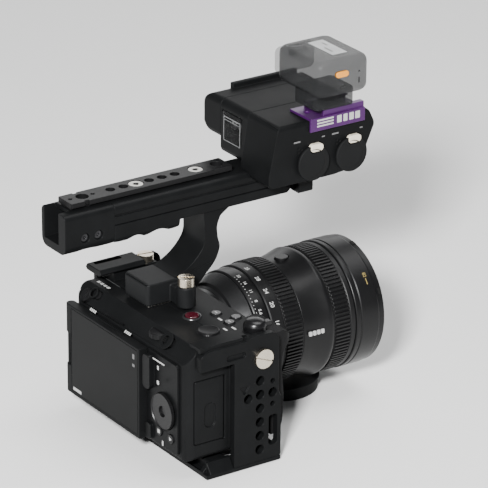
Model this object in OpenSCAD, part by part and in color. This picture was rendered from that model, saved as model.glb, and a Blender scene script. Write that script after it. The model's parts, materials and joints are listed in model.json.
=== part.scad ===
// Cinema camera in a cage, with an audio top handle, a wide zoom lens and a wireless receiver.
// Millimetres. X to the operator's right, Y forward along the lens, Z up.
// The origin is the mouth of the tripod socket, on the surface that the rig stands on.

/* [Camera body] */
// Width of the camera body
body_w = 136; // [134:1:138]
// Height of the camera body
body_h = 78; // [77:0.5:79]
// Depth from the rear face to the front face
body_d = 64.5; // [64:0.5:65]
// Height of the body's underside above the table
body_z = 12; // [12:0.5:12.5]
// Wall of the body shells
wall = 3; // [2:0.5:3]

/* [Monitor] */
// Width of the screen glass
screen_w = 80.5; // [76:0.5:81]
// Height of the screen glass
screen_h = 59; // [54:0.5:59]
// Thickness of the monitor panel
panel_t = 6.6; // [6:0.2:6.6]

/* [Lens] */
// Height of the lens axis above the table
axis_z = 57; // [57:0.5:58]
// Length of the lens from its flange to its front rim
lens_len = 111.5; // [111:0.5:112]
// Radius of the front barrel
front_r = 43.9; // [43.7:0.1:44]
// Radius of the zoom ring over its ribs
zoom_r = 41.9; // [41:0.1:42]
// Radius of the inner tube that the rings turn on
tube_r = 34; // [33:0.5:34]
// Gap between a ring and the tube
ring_gap = 0.3; // [0.3:0.05:0.4]

/* [Top handle] */
// Width of the handle beam
beam_w = 29; // [28:0.5:29]
// Height of the beam's top face
beam_top = 168.5; // [168.5:0.5:169]
// Distance from the origin to the rear end of the handle
beam_rear = 90; // [88:1:92]
// Width of the accessory rail
rail_w = 16.6; // [15:0.2:17]
// Thickness of the accessory rail
rail_t = 4.9; // [4.5:0.1:5]
// Pitch of the tapped holes in the rail
rail_pitch = 9.8; // [9.5:0.1:10]

/* [Audio box] */
// Width of the audio box
box_w = 85; // [85:1:86]
// Height of the box's top face
box_top = 206; // [206:0.5:206.5]
// Pitch of the two audio inputs
input_pitch = 30; // [29:0.5:30.5]
// Radius of an input's rubber cap
cap_r = 12; // [11:0.5:12]

/* [Accessory shoe and receiver] */
// Width of the shoe's channel
shoe_w = 18.6; // [18.5:0.1:18.8]
// Width of the receiver
receiver_w = 49; // [48:0.5:49]
// Length of the receiver along the lens
receiver_d = 41.5; // [41:0.5:42]
// Height of the receiver's case
receiver_h = 25; // [25:0.5:26]

/* [Hidden] */
$fn = 64;

black = "#1d1e20";
dark = "#2b2c2e";
grey = "#5b5d60";
nickel = "#c9c6bd";
purple = "#5a2a7a";

// Camera body: its left side, right side, rear, front and top
body_x0 = -58;
body_x1 = body_x0 + body_w;
body_y0 = -44;
body_y1 = body_y0 + body_d;
body_top = body_z + body_h;
split_y = -12;
deck_t = 5;
chamfer_y = 9;
chamfer_z = 11;
chamfer_tilt = atan2(chamfer_y, chamfer_z);
button_depth = 3.6;
button_gap = 0.3;

// Controls on the top deck: [x, y, radius]
record_at = [32.2, -10.2, 4.6];
button_left_at = [36.7, 5.4, 3.2];
button_right_at = [53.2, 4.8, 3.2];
button_front_at = [48.6, 12.8, 3.2];
lever_at = [70.5, 12.6, 7.6];
dial_at = [34, -36.5, 6.5];
dial_z = [83.2, 87.2];

// Controls on the sloped rear edge: [x, radius, distance up the slope]
knob_on_slope = [-46.3, 4.6, 5.4];
custom_on_slope = [-36, 2.6, 9.4];
stick_on_slope = [51.7, 2.8, 8.6];

// Controls on the rear panel: [x, z, radius]
wheel_at = [55, 41.4, 12.2];
play_at = [49.2, 25, 3];
delete_at = [62.8, 24.6, 3];
control_x = [34, 70];
control_z = [15, 78];
control_y = body_y0 - 2;

// Hinge pin of the card door: [x, y]
card_pin_at = [body_x1 - 0.8, -16.8];
card_pin_r = 0.6;

// Mount and lens stations along Y
flange_y = body_y1 + 4;
mount_r = 31;
throat_r = 23;
aperture_y = [flange_y + 13.3, flange_y + 23.7];
zoom_y = [flange_y + 24, flange_y + 48];
middle_y = [flange_y + 48.3, flange_y + 70.7];
focus_y = [flange_y + 71, flange_y + 88];
front_y = [flange_y + 88.3, flange_y + lens_len];
filter_r = 41;
hold_y = flange_y + 57;

// Cage
cage_x0 = -62;
cage_x1 = 84.5;
cage_y0 = -33;
cage_y1 = 24;
base_t = 10;
plate_t = 5;
plate_x0 = cage_x1 - plate_t;
plate_y0 = -12;
plate_foot_z = 3.5;
socket_r = 3.2;
plate_hole_pitch = 9.7;
plate_holes = 6;
plate_hole_y = 7.7;
plate_hole_z = 11.8;
side_screw_at = [9.5, 76];

// Monitor
hinge_x = -55;
panel_y1 = body_y0 - 0.4;
panel_y0 = panel_y1 - panel_t;
hinge_y = (panel_y0 + panel_y1) / 2;
panel_x1 = 32.5;
panel_z = [13.5, 77];
glass_t = 0.8;
glass_x0 = -50;
glass_z0 = 16;
knuckle_z = [34, 56];

// Handle
handle_x = -6;
beam_x0 = handle_x - beam_w / 2;
beam_x1 = handle_x + beam_w / 2;
beam_front = 84;
beam_low = 148;
grip_low = 143.6;
end_block_y = -53;
rail_y = [-81.5, 41];
rail_x0 = handle_x - rail_w / 2;
foot_x = [handle_x - 14.2, handle_x + 14.2];
foot_y = [-29, 2];
foot_z = [92, 107];
boss_at = [19.5, -6.3];
boss_r = 6.2;
screw_r = 2.4;
arm_x = [handle_x - 13.5, handle_x + 13];
side_screw_y = [-75, -65];
side_screw_z = 151;
rail_hole_y = concat(
  [for (i = [0:1]) -47.4 + i * rail_pitch],
  [for (i = [0:2]) -18.2 + i * rail_pitch]
);
rail_hole_r = 3.1;
rail_screw_y = [-28.2, 17.3];
rail_recess_y = [-68.5, 33.7];

// Audio box: its outer faces and the two seams between its three shells
box_x1 = 33.5;
box_x0 = box_x1 - box_w;
seam_x = [-32, -0.5];
box_y = [54, 131];
window_x = [-28.5, -8];
window_z = [179.5, 199];
window_depth = 12;
input_y = 82;
input_z = 177;
socket_hole_r = 10.5;
tab_z = 187;
tab_dy = 2.6;
knob_z = [190, 190];
knob_x = [-23, -13.5];

// Shoe adapter and receiver
shoe_x = 22.5;
shoe_y = [79, 122];
shoe_t = 1.6;
lip_z = 3.8;
receiver_y = [76, 76 + receiver_d];
receiver_z = 224;
receiver_x0 = shoe_x - receiver_w / 2;
neck_z = 212.2;
display_x = [8.2, 35.8];
display_y = [94.8, 106.3];

// Points of an arc about c, from angle a0 to a1
function arc(c, r, a0, a1, n = 6) = [
  for (i = [0:n]) let (a = a0 + (a1 - a0) * i / n) [c[0] + r * cos(a), c[1] + r * sin(a)]
];

// Points of a rectangle with round corners
function round_box(a0, a1, b0, b1, r) = concat(
  arc([a1 - r, b1 - r], r, 0, 90),
  arc([a0 + r, b1 - r], r, 90, 180),
  arc([a0 + r, b0 + r], r, 180, 270),
  arc([a1 - r, b0 + r], r, 270, 360)
);

// A smooth curve through the points p
function spline_at(a, b, c, d, t) =
  0.5 * ((2 * b) + (c - a) * t + (2 * a - 5 * b + 4 * c - d) * t * t
    + (3 * b - a - 3 * c + d) * t * t * t);
function spline(p, n = 4) = [
  for (i = [0:len(p) - 2])
    for (k = [0:n - (i == len(p) - 2 ? 0 : 1)])
      spline_at(p[max(i - 1, 0)], p[i], p[i + 1], p[min(i + 2, len(p) - 1)], k / n)
];

// Outlines drawn in a plane and given a thickness along X, Y or Z
module along_x(x0, x1, points) {
  translate([x0, 0, 0]) rotate([90, 0, 90]) linear_extrude(x1 - x0) polygon(points);
}
module along_y(y0, y1, points) {
  translate([0, y1, 0]) rotate([90, 0, 0]) linear_extrude(y1 - y0) polygon(points);
}
module along_z(z0, z1, points) {
  translate([0, 0, z0]) linear_extrude(z1 - z0) polygon(points);
}
module block(lo, hi) {
  translate(lo) cube(hi - lo);
}
module rod_x(x0, x1, y, z, r) {
  translate([x0, y, z]) rotate([0, 90, 0]) cylinder(h = x1 - x0, r = r);
}
module rod_y(y0, y1, x, z, r) {
  translate([x, y0, z]) rotate([-90, 0, 0]) cylinder(h = y1 - y0, r = r);
}
module rod_z(z0, z1, x, y, r) {
  translate([x, y, z0]) cylinder(h = z1 - z0, r = r);
}

// A body of revolution about the lens axis; points are [radius, y]
module lathe(points) {
  translate([0, 0, axis_z]) rotate([-90, 0, 0]) rotate_extrude($fn = 128) polygon(points);
}

// Places its children on the slope, at x and at a distance up from its lower edge
module on_slope(x, up) {
  translate([x, body_y0 + up * sin(chamfer_tilt), body_top - chamfer_z + up * cos(chamfer_tilt)])
    rotate([90 - chamfer_tilt, 0, 0]) children();
}

// Camera body

// Side outline of the whole body, with the sloped rear edge
function body_side() = concat(
  arc([body_y0 + 2, body_z + 2], 2, 180, 270, 4),
  arc([body_y1 - 2, body_z + 2], 2, 270, 360, 4),
  arc([body_y1 - 3, body_top - 3], 3, 0, 90, 4),
  [[body_y0 + chamfer_y, body_top], [body_y0, body_top - chamfer_z]]
);

module body_block() {
  intersection() {
    along_x(body_x0, body_x1, body_side());
    along_z(body_z, body_top, round_box(body_x0, body_x1, body_y0, body_y1, 8));
    along_y(body_y0, body_y1, round_box(body_x0, body_x1, body_z, body_top, 5));
  }
}

module body_cavity() {
  block(
    [body_x0 + wall, body_y0 + chamfer_y + wall, body_z + wall],
    [body_x1 - wall, body_y1 - wall, body_top - deck_t]
  );
}

module deck_pocket(at) {
  rod_z(body_top - button_depth, body_top + 1, at[0], at[1], at[2] + button_gap);
}

module slope_pocket(at) {
  on_slope(at[0], at[2]) translate([0, 0, -button_depth])
    cylinder(h = button_depth + 2, r = at[1] + button_gap);
}

module body_front() color(black) difference() {
  intersection() {
    body_block();
    block([body_x0, split_y, body_z], [body_x1, body_y1, body_top]);
  }
  body_cavity();
  rod_y(0, body_y1 + 1, 0, axis_z, throat_r + 1);
  block([35.6, -10.4, body_z - 1], [74.4, 16.4, body_z + wall + 1]);
  for (at = [record_at, button_left_at, button_right_at, button_front_at]) deck_pocket(at);
  rod_z(body_top - button_depth, body_top + 1, lever_at[0], lever_at[1], 3.3);
}

module body_rear() color(black) {
  difference() {
    intersection() {
      body_block();
      block([body_x0, body_y0, body_z], [body_x1, split_y, body_top]);
    }
    body_cavity();
    deck_pocket(record_at);
    rod_z(dial_z[0] - 0.3, dial_z[1] + 0.3, dial_at[0], dial_at[1], dial_at[2] + button_gap);
    for (at = [knob_on_slope, custom_on_slope, stick_on_slope]) slope_pocket(at);
    along_x(body_x1 - 2.6, body_x1 + 1, round_box(-38.4, -15.2, 23.6, 68.4, 1));
    rod_z(21.5, 70.5, card_pin_at[0], card_pin_at[1], card_pin_r + 0.06);
    rod_y(body_y0 - 1, body_y0 + 4, wheel_at[0], wheel_at[1], 4);
    block([-22, body_y0 - 1, 20], [18, body_y0 + 1.2, 70]);
  }
  difference() {
    hull() {
      rod_z(knuckle_z[0], knuckle_z[1], hinge_x, hinge_y, 2.6);
      block([hinge_x - 2, body_y0 - 0.2, knuckle_z[0]], [hinge_x + 2, body_y0 + 1, knuckle_z[1]]);
    }
    rod_z(knuckle_z[0] - 1, knuckle_z[1] + 1, hinge_x, hinge_y, 1.06);
  }
}

module hot_shoe() color(nickel) difference() {
  block([handle_x - 11, -26, body_top], [handle_x + 11, -4, foot_z[0]]);
  block([handle_x - 9.3, -27, body_top + 0.8], [handle_x + 9.3, -8, foot_z[0] + 1]);
}

module grip() color(dark) intersection() {
  along_x(46, body_x1, concat(
    [[body_y1, 16]],
    spline([[body_y1 + 6, 16.5], [body_y1 + 9, 24], [body_y1 + 10, 42], [body_y1 + 8.5, 60],
      [body_y1 + 9.5, 72], [body_y1 + 15, 79], [body_y1 + 15.5, 84], [body_y1 + 9, 88]]),
    [[body_y1, 87]]
  ));
  along_z(10, 95, round_box(46, body_x1, 0, body_y1 + 17, 7));
}

module control_panel() color(dark) difference() {
  union() {
    along_y(control_y, body_y0, round_box(control_x[0], control_x[1], control_z[0], control_z[1], 3));
    along_y(control_y - 3.8, control_y + 0.1, round_box(34.6, 43, 52, 75.5, 3.2));
    along_y(control_y - 2, control_y + 0.1, round_box(34.6, 41.4, 15.6, 27, 2.6));
  }
  rod_y(control_y - 1, body_y0 + 1, wheel_at[0], wheel_at[1], wheel_at[2] + 0.3);
  for (at = [play_at, delete_at]) {
    rod_y(control_y - 1, body_y0 + 1, at[0], at[1], at[2] + button_gap);
  }
}

module mount_ring() color(nickel) lathe([
  [throat_r, body_y1], [mount_r, body_y1], [mount_r, flange_y], [throat_r, flange_y]
]);

module sensor() color("#33405a") {
  block([-20, 4, axis_z - 14], [20, 6.5, axis_z + 14]);
  block([-34, 1, axis_z - 22], [30, 4, axis_z + 22]);
}

module battery() color(dark) {
  along_z(14.6, 66, round_box(36, 74.4, -8, 14.7, 2));
}

module battery_door() color(black) {
  along_z(body_z, body_z + 2, round_box(36, 74, -10, 14, 1));
  rod_x(38, 72, 14, body_z + 1, 1);
}

module card_door() color(black) difference() {
  union() {
    along_x(body_x1 - 2, body_x1, round_box(-38, -16.2, 24, 68, 1.2));
    rod_z(22, 70, card_pin_at[0], card_pin_at[1], card_pin_r);
  }
  along_x(body_x1 - 1.1, body_x1 + 1, round_box(-30.5, -22, 34, 51, 4));
}

module record_button() color("#7a1320") {
  rod_z(body_top - 2.4, body_top + 1.4, record_at[0], record_at[1], record_at[2]);
}

module round_button(at) {
  rod_z(body_top - 2.4, body_top + 1, at[0], at[1], at[2]);
}
module top_button_left() color(grey) round_button(button_left_at);
module top_button_right() color(grey) round_button(button_right_at);
module top_button_front() color(grey) round_button(button_front_at);

module mode_knob() color(dark) on_slope(knob_on_slope[0], knob_on_slope[2]) {
  translate([0, 0, -2.4]) cylinder(h = 4.4, r = knob_on_slope[1]);
  translate([-0.8, -3.6, 2]) cube([1.6, 7.2, 1]);
}
module custom_button() color(grey) on_slope(custom_on_slope[0], custom_on_slope[2]) {
  translate([0, 0, -2.4]) cylinder(h = 3.2, r = custom_on_slope[1]);
}
module joystick() color(black) on_slope(stick_on_slope[0], stick_on_slope[2]) {
  translate([0, 0, -2.4]) cylinder(h = 4.2, r = stick_on_slope[1]);
}

module rear_dial() color(dark) {
  rod_z(dial_z[0], dial_z[1], dial_at[0], dial_at[1], dial_at[2]);
}

module control_wheel() color(dark) difference() {
  union() {
    rod_y(control_y - 0.8, body_y0 - 0.2, wheel_at[0], wheel_at[1], wheel_at[2]);
    rod_y(body_y0 - 0.3, body_y0 + 3, wheel_at[0], wheel_at[1], 3.9);
  }
  rod_y(control_y - 2, control_y + 0.4, wheel_at[0], wheel_at[1], 6);
}

module rear_button(at) {
  rod_y(control_y - 0.8, body_y0 - 0.9, at[0], at[1], at[2]);
}
module play_button() color(grey) rear_button(play_at);
module delete_button() color(grey) rear_button(delete_at);

module shutter_lever() color(black) {
  translate([lever_at[0], lever_at[1], body_top + 0.3]) rotate_extrude() polygon(concat(
    [[0, 0], [lever_at[2], 0]], spline([[lever_at[2], 3], [6.6, 5.4], [4, 6.8], [0, 7.2]])
  ));
  rod_z(body_top - 3, body_top + 0.3, lever_at[0], lever_at[1], 3);
  translate([lever_at[0], lever_at[1], body_top]) block([-2, 6, 1], [2, 11.5, 4]);
}

// Monitor, hinged on the operator's left edge

module monitor_panel() color(black) {
  rod_z(knuckle_z[0] - 3, knuckle_z[1] + 3, hinge_x, hinge_y, 1);
  monitor_frame();
}

module monitor_frame() difference() {
  along_z(panel_z[0], panel_z[1], concat(
    arc([hinge_x, hinge_y], panel_t / 2, 90, 270, 12),
    [[panel_x1, panel_y0], [panel_x1, panel_y1]]
  ));
  block([-60, panel_y0 - 1, knuckle_z[0] - 0.4], [hinge_x + 3.2, panel_y1 + 1, knuckle_z[1] + 0.4]);
  block(
    [glass_x0 - 0.1, panel_y0 - 1, glass_z0 - 0.1],
    [glass_x0 + screen_w + 0.1, panel_y0 + glass_t, glass_z0 + screen_h + 0.1]
  );
}

module monitor_glass() color("#3a3d40") {
  block(
    [glass_x0, panel_y0, glass_z0],
    [glass_x0 + screen_w, panel_y0 + glass_t, glass_z0 + screen_h]
  );
}

// Cage

module cage_base() color(black) {
  difference() {
    union() {
      intersection() {
        along_y(cage_y0, cage_y1, [
          [cage_x0, 2], [cage_x0 + 2, 0], [cage_x1 - 1, 0], [cage_x1, 1], [cage_x1, plate_foot_z],
          [plate_x0, plate_foot_z], [plate_x0, base_t], [cage_x0, base_t]
        ]);
        along_x(cage_x0, cage_x1, [
          [cage_y0 + 1, 0], [cage_y1, 0], [cage_y1, base_t], [cage_y0 + 6, base_t], [cage_y0, 4],
          [cage_y0, 1]
        ]);
      }
      along_y(cage_y0 + 3, plate_y0 - 0.3, [
        [plate_x0 - 1, plate_foot_z], [cage_x1, plate_foot_z], [plate_x0, base_t], [plate_x0 - 1, base_t]
      ]);
      block([body_x0 + 4, -26, base_t], [28, 20, body_z]);
      along_x(cage_x0, body_x0, concat(
        [[-26, base_t], [cage_y1, base_t]], arc([cage_y1 - 6, body_top], 6, 0, 90, 4),
        arc([-20, body_top], 6, 90, 180, 4)
      ));
    }
    along_z(-1, base_t + 3, round_box(33, 77.4, -14, 19.4, 3));
    along_x(cage_x0 - 1, body_x0 + 1, round_box(-18, 16, 20, 44, 4));
    along_x(cage_x0 - 1, body_x0 + 1, round_box(-18, 16, 52, 80, 4));
    rod_z(-1, 8, 0, 0, socket_r);
    for (x = [-40, -24, 20]) rod_z(-1, 8, x, 0, 2.6);
    along_z(4.4, base_t + 1, [[52, cage_y0 - 1], [76, cage_y0 - 1], [76, -28], [52, -28]]);
  }
}

module cage_side_plate() color(dark) difference() {
  union() {
    along_x(plate_x0, cage_x1, concat(
      [[plate_y0, plate_foot_z], [cage_y1 - 1, plate_foot_z]],
      [[cage_y1, plate_foot_z + 1], [cage_y1, 46], [cage_y1 - 2, 50]],
      arc([cage_y1 - 8, body_top - 4], 6, 0, 80, 4),
      [[4, body_top + 2.6], [-4, body_top], [-30, body_top]],
      arc([-34, body_top - 5], 4, 90, 180, 4),
      [[-38, 77], [plate_y0, 77]]
    ));
    block([body_x1 - 8, -37, body_top + 0.2], [plate_x0, 0, body_top + 2.8]);
    block([plate_x0, -37, body_top - 1], [plate_x0 + 3, -4, body_top + 2.8]);
  }
  for (i = [0:plate_holes - 1]) {
    rod_x(plate_x0 - 1, cage_x1 + 1, plate_hole_y, plate_hole_z + i * plate_hole_pitch, socket_r);
  }
  rod_x(plate_x0 - 1, cage_x1 + 1, -1.4, 49.7, socket_r);
  rod_x(plate_x0 - 1, cage_x1 + 1, 17.4, 50, socket_r);
  for (z = [42, 58]) rod_x(plate_x0 - 1, cage_x1 + 1, 17.4, z, 1.7);
  along_x(plate_x0 - 1, cage_x1 + 1, round_box(14.6, 21.2, 13, 34, 2));
  along_x(cage_x1 - 1.6, cage_x1 + 1, round_box(-18, -3.5, 79.6, 83.6, 1.8));
  rod_x(plate_x0 - 1, cage_x1 + 1, side_screw_at[0], side_screw_at[1], 2.56);
  along_x(cage_x1 - 1, cage_x1 + 1, [[-8, 59], [-0.6, 59], [-3, 55], [-5.4, 55]]);
}

module slotted_head(r, h, slot) {
  difference() {
    cylinder(h = h, r = r);
    translate([-r - 1, -slot / 2, h - 1]) cube([2 * r + 2, slot, 2]);
  }
}

module cage_screws() color(nickel) {
  translate([cage_x1, side_screw_at[0], side_screw_at[1]]) rotate([0, 90, 0]) {
    rotate([0, 0, 68]) slotted_head(6.6, 2.4, 1.1);
    translate([0, 0, -plate_t]) cylinder(h = plate_t, r = 2.5);
  }
  translate([-47, 5, 98]) {
    rotate([0, 0, 80]) slotted_head(5.4, 4.4, 1.4);
    translate([0, 0, -5]) cylinder(h = 5, r = 2.1);
  }
}

module accessory_bracket() color(dark) difference() {
  union() {
    block([-56, -24, body_top], [-24, -8, body_top + 1.8]);
    block([-52, -24, body_top + 1.8], [-40, 10, 98]);
    along_y(-36, -1, [[-56, 99.6], [-54, 98], [-39, 98], [-37, 99.6], [-39, 102.4], [-54, 102.4]]);
    rod_z(body_top, 98, -47, 5, 5.6);
  }
  along_z(100.4, 103, round_box(-53, -49, -32, -12, 1.2));
  rod_z(92, 99, -47, 5, 2.16);
}

// Top handle

module handle_foot() color(black) difference() {
  union() {
    intersection() {
      along_x(foot_x[0], foot_x[1], [
        [foot_y[0], foot_z[0]], [foot_y[1], foot_z[0]], [foot_y[1], foot_z[1]],
        [foot_y[0] + 1.2, foot_z[1]], [foot_y[0], foot_z[1] - 1.2]
      ]);
      along_z(foot_z[0], foot_z[1], round_box(foot_x[0], foot_x[1], foot_y[0], foot_y[1] + 6, 3));
    }
    rod_z(foot_z[0], foot_z[1] - 0.7, boss_at[0], boss_at[1], boss_r);
    block([foot_x[1] - 1, boss_at[1] - 5, foot_z[0]], [boss_at[0], boss_at[1] + 5, foot_z[1] - 3]);
  }
  rod_z(foot_z[0] + 1, foot_z[1] + 1, boss_at[0], boss_at[1], screw_r + 0.05);
}

module thumb_screw() color(nickel) {
  translate([boss_at[0], boss_at[1], foot_z[1] - 0.4]) {
    rotate([0, 0, 56]) slotted_head(5.4, 5.6, 1.4);
    translate([0, 0, -12]) cylinder(h = 12, r = screw_r);
  }
}

module riser_arm() color(black) {
  along_x(arm_x[0], arm_x[1], concat(
    [[36, beam_low]],
    [[15.5, beam_low]],
    spline([[16.2, 140], [16.6, 129], [14, 122], [7, 114.4], [-1, 109.4], [-7, foot_z[1]]]),
    [[foot_y[1], foot_z[1]], [foot_y[1], foot_z[0]]],
    spline([[7, foot_z[0]], [10, 96.5], [16.5, 103.6], [24.4, 112], [28, 121], [26.6, 128],
      [26, 136], [28.6, 143]])
  ));
}

// One finger groove between two ridges of the beam's underside
function groove(y0, y1, depth) = [
  for (i = [0:8]) [y0 + (y1 - y0) * i / 8, grip_low - 2.4 + depth * sin(180 * i / 8)]
];

module handle_beam() color(black) difference() {
  intersection() {
    along_y(-beam_rear, beam_front, concat(
      arc([beam_x0 + 5, grip_low - 2.4 + 5], 5, 180, 270, 5),
      arc([beam_x1 - 5, grip_low - 2.4 + 5], 5, 270, 360, 5),
      arc([beam_x1 - 4, beam_top - 4], 4, 0, 90, 5),
      arc([beam_x0 + 4, beam_top - 4], 4, 90, 180, 5)
    ));
    along_x(beam_x0, beam_x1, concat(
      [[end_block_y, grip_low - 1]],
      groove(-44, -29, 3.2), groove(-29, -10, 3.6),
      [[-4, grip_low - 0.6], [-3.6, beam_low], [beam_front - 4, beam_low], [beam_front, 152],
        [beam_front, beam_top], [end_block_y, beam_top]]
    ));
  }
  for (x = [beam_x0 - 1, beam_x1 - 1]) {
    block([x, end_block_y - 1, 160.4], [x + 2, beam_front + 1, 161.8]);
    block([x, end_block_y - 1, 154.4], [x + 2, beam_front + 1, 155]);
  }
  for (y = rail_screw_y) rod_z(beam_top - 8, beam_top + 1, handle_x, y, 2.06);
}

module handle_end_block() color(black) difference() {
  intersection() {
    along_y(-beam_rear, end_block_y, concat(
      arc([beam_x0 + 6, grip_low - 2.4 + 6], 6, 180, 270, 5),
      arc([beam_x1 - 6, grip_low - 2.4 + 6], 6, 270, 360, 5),
      arc([beam_x1 - 4, beam_top - 4], 4, 0, 90, 5),
      arc([beam_x0 + 4, beam_top - 4], 4, 90, 180, 5)
    ));
    along_x(beam_x0, beam_x1, concat(
      [[-beam_rear, grip_low - 2.4]],
      groove(-84, -62, 1.8),
      [[end_block_y, grip_low - 1], [end_block_y, beam_top], [-beam_rear, beam_top]]
    ));
  }
  block([beam_x0 + 3.4, -beam_rear - 1, 147], [beam_x1 - 8.5, -64, beam_top - 3]);
  block([beam_x0 + 3.4, -beam_rear - 1, beam_top - 3.01], [beam_x1 - 8.5, -81.5, beam_top + 1]);
  for (y = side_screw_y) rod_x(beam_x1 - 5, beam_x1 + 1, y, side_screw_z, 3);
}

module accessory_rail() color(grey) difference() {
  union() {
    along_z(beam_top + 1.6, beam_top + rail_t,
      round_box(rail_x0, rail_x0 + rail_w, rail_y[0], rail_y[1], 1));
    block([rail_x0 + 2, rail_y[0] + 1, beam_top], [rail_x0 + rail_w - 2, rail_y[1] - 1, beam_top + 1.7]);
  }
  for (y = rail_hole_y) rod_z(beam_top - 1, beam_top + rail_t + 1, handle_x, y, rail_hole_r);
  for (y = [rail_recess_y[0] - 8.8, rail_recess_y[0] + 7.8]) {
    rod_z(beam_top + 2, beam_top + rail_t + 1, handle_x, y, 1.3);
  }
  for (y = rail_recess_y) rod_z(beam_top + 1, beam_top + rail_t + 1, handle_x, y, 4.2);
  for (y = rail_screw_y) {
    rod_z(beam_top - 1, beam_top + rail_t, handle_x, y, 2.06);
    rod_z(beam_top + 1.7, beam_top + rail_t + 1, handle_x, y, 5);
  }
  for (x = [rail_x0 - 1, rail_x0 + rail_w - 1.4]) {
    block([x, -71, beam_top + 1], [x + 2.4, -68, beam_top + rail_t + 1]);
  }
}

module socket_screw(r, h) {
  difference() {
    cylinder(h = h, r = r);
    translate([0, 0, h - 1.6]) cylinder(h = 3, r = r * 0.46, $fn = 6);
  }
}

module handle_screws() color(nickel) {
  for (y = rail_screw_y) translate([handle_x, y, beam_top + 1.75]) {
    socket_screw(4.8, 2.9);
    translate([0, 0, -8]) cylinder(h = 8, r = 2);
  }
  for (y = side_screw_y) translate([beam_x1 - 4.9, y, side_screw_z]) rotate([0, 90, 0]) {
    socket_screw(2.7, 3.4);
  }
}

// Audio box on the front of the handle

// Side outline of the right shell, whose rear and front edges lean
function right_side() = concat(
  arc([58.2, box_top - 4], 4, 90, 168, 4),
  [[49, 173]],
  arc([53, 168], 4, 190, 270, 4),
  [[100, 164]],
  arc([115, 172], 7, 300, 340, 3),
  arc([125, 194], 6, -12, 30, 3),
  arc([122, 200], 6, 20, 90, 4)
);

// Outline of the whole box from behind
module box_outline(z0) {
  along_y(box_y[0] - 8, box_y[1] + 2, concat(
    [[box_x0 + 6, z0], [box_x1 - 2, z0]],
    arc([box_x1 - 3, box_top - 3], 3, 0, 90, 4),
    arc([box_x0 + 9, box_top - 9], 9, 90, 180, 6),
    [[box_x0, z0 + 7]]
  ));
}

module box_shell(x0, x1, z0) {
  intersection() {
    along_x(x0, x1, round_box(box_y[0], box_y[1], z0, box_top, 5));
    box_outline(z0);
  }
}

module xlr_box_left() color(black) {
  difference() {
    box_shell(box_x0, seam_x[0], 178);
    block([box_x0 + wall, box_y[0] + 4, 181], [seam_x[0] + 1, box_y[1] - 4, box_top - 6]);
  }
  along_y(72, 123, round_box(-47.5, -43.5, box_top - 2, box_top + 3.4, 1));
}

module xlr_box_middle() color(black) {
  difference() {
    box_shell(seam_x[0], seam_x[1], beam_top);
    block(
      [window_x[0], box_y[0] - 1, window_z[0]],
      [window_x[1], box_y[0] + window_depth, window_z[1]]
    );
    block(
      [seam_x[0] - 1, box_y[0] + window_depth + 3, beam_top + 4],
      [seam_x[1] + 1, box_y[1] - 4, box_top - 4]
    );
    rod_x(window_x[0] - 1.4, window_x[1] + 1.4, box_y[0] - 0.2, window_z[1] - 0.8, 1.35);
  }
}

module xlr_box_right() color(dark) difference() {
  intersection() {
    along_x(seam_x[1], box_x1, right_side());
    box_outline(160);
  }
  block([seam_x[1] - 1, 62, 170], [box_x1 - 12, 116, box_top - 4]);
  block([seam_x[1] - 1, 0, 140], [beam_x1 + 0.2, beam_front + 0.2, beam_top]);
  for (i = [0, 1]) {
    rod_x(box_x1 - 9, box_x1 + 1, input_y + i * input_pitch, input_z, socket_hole_r);
    along_x(box_x1 - 5, box_x1 + 1, tab_outline(i, 0.3));
  }
}

// The oval of a release tab, grown by g
function tab_outline(i, g) = round_box(
  input_y + tab_dy + i * input_pitch - 4.9 - g, input_y + tab_dy + i * input_pitch + 4.9 + g,
  tab_z - 2.6 - g, tab_z + 2.6 + g, 2.4
);

module audio_cover() color("#9aa0a6") {
  difference() {
    block(
      [window_x[0] + 0.4, box_y[0] - 0.9, window_z[0] - 0.8],
      [window_x[1] - 0.4, box_y[0] - 0.1, window_z[1] - 0.8]
    );
    block(
      [window_x[0] + 8, box_y[0] - 2, window_z[0] + 0.2],
      [window_x[1] - 8, box_y[0] - 0.5, window_z[0] + 1.4]
    );
  }
  rod_x(window_x[0] + 0.4, window_x[1] - 0.4, box_y[0] - 0.2, window_z[1] - 0.8, 1.05);
}

module level_knob(i) {
  rod_y(box_y[0] + 4, box_y[0] + window_depth - 0.1, knob_x[i], knob_z[i], 3.6);
}
module level_knob_left() color(grey) level_knob(0);
module level_knob_right() color(grey) level_knob(1);

module xlr_sockets() color(grey) for (i = [0, 1]) {
  difference() {
    rod_x(box_x1 - 9, box_x1 - 1, input_y + i * input_pitch, input_z, socket_hole_r - 0.1);
    rod_x(box_x1 - 7, box_x1 + 1, input_y + i * input_pitch, input_z, 7.4);
    along_x(box_x1 - 5, box_x1 + 1, tab_outline(i, 0.3));
  }
  for (a = [90, 210, 330]) {
    rod_x(box_x1 - 7.2, box_x1 - 3.4, input_y + i * input_pitch + 4 * cos(a), input_z + 4 * sin(a), 1.1);
  }
}

module xlr_cap(i) {
  difference() {
    rod_x(box_x1 + 0.1, box_x1 + 2, input_y + i * input_pitch, input_z, cap_r);
    along_x(box_x1, box_x1 + 3, tab_outline(i, 0.5));
  }
  rod_x(box_x1 - 3, box_x1 + 0.2, input_y + i * input_pitch, input_z, 7);
}
module xlr_cap_rear() color(dark) xlr_cap(0);
module xlr_cap_front() color(dark) xlr_cap(1);

module release_tab(i) {
  along_x(box_x1 - 3, box_x1 + 1.6, tab_outline(i, 0));
}
module release_tab_rear() color("#d8d2bf") release_tab(0);
module release_tab_front() color("#d8d2bf") release_tab(1);

module mic_mount() color(dark) difference() {
  union() {
    block([beam_x1 + 0.6, 80, 158], [21, 94, 164]);
    along_y(81.5, 92.5, round_box(9, 19.5, 150.4, 159.5, 1.5));
  }
  rod_y(80, 94, 14.2, 154.6, 2.1);
}

// Shoe adapter clipped over the box's right edge

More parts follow.
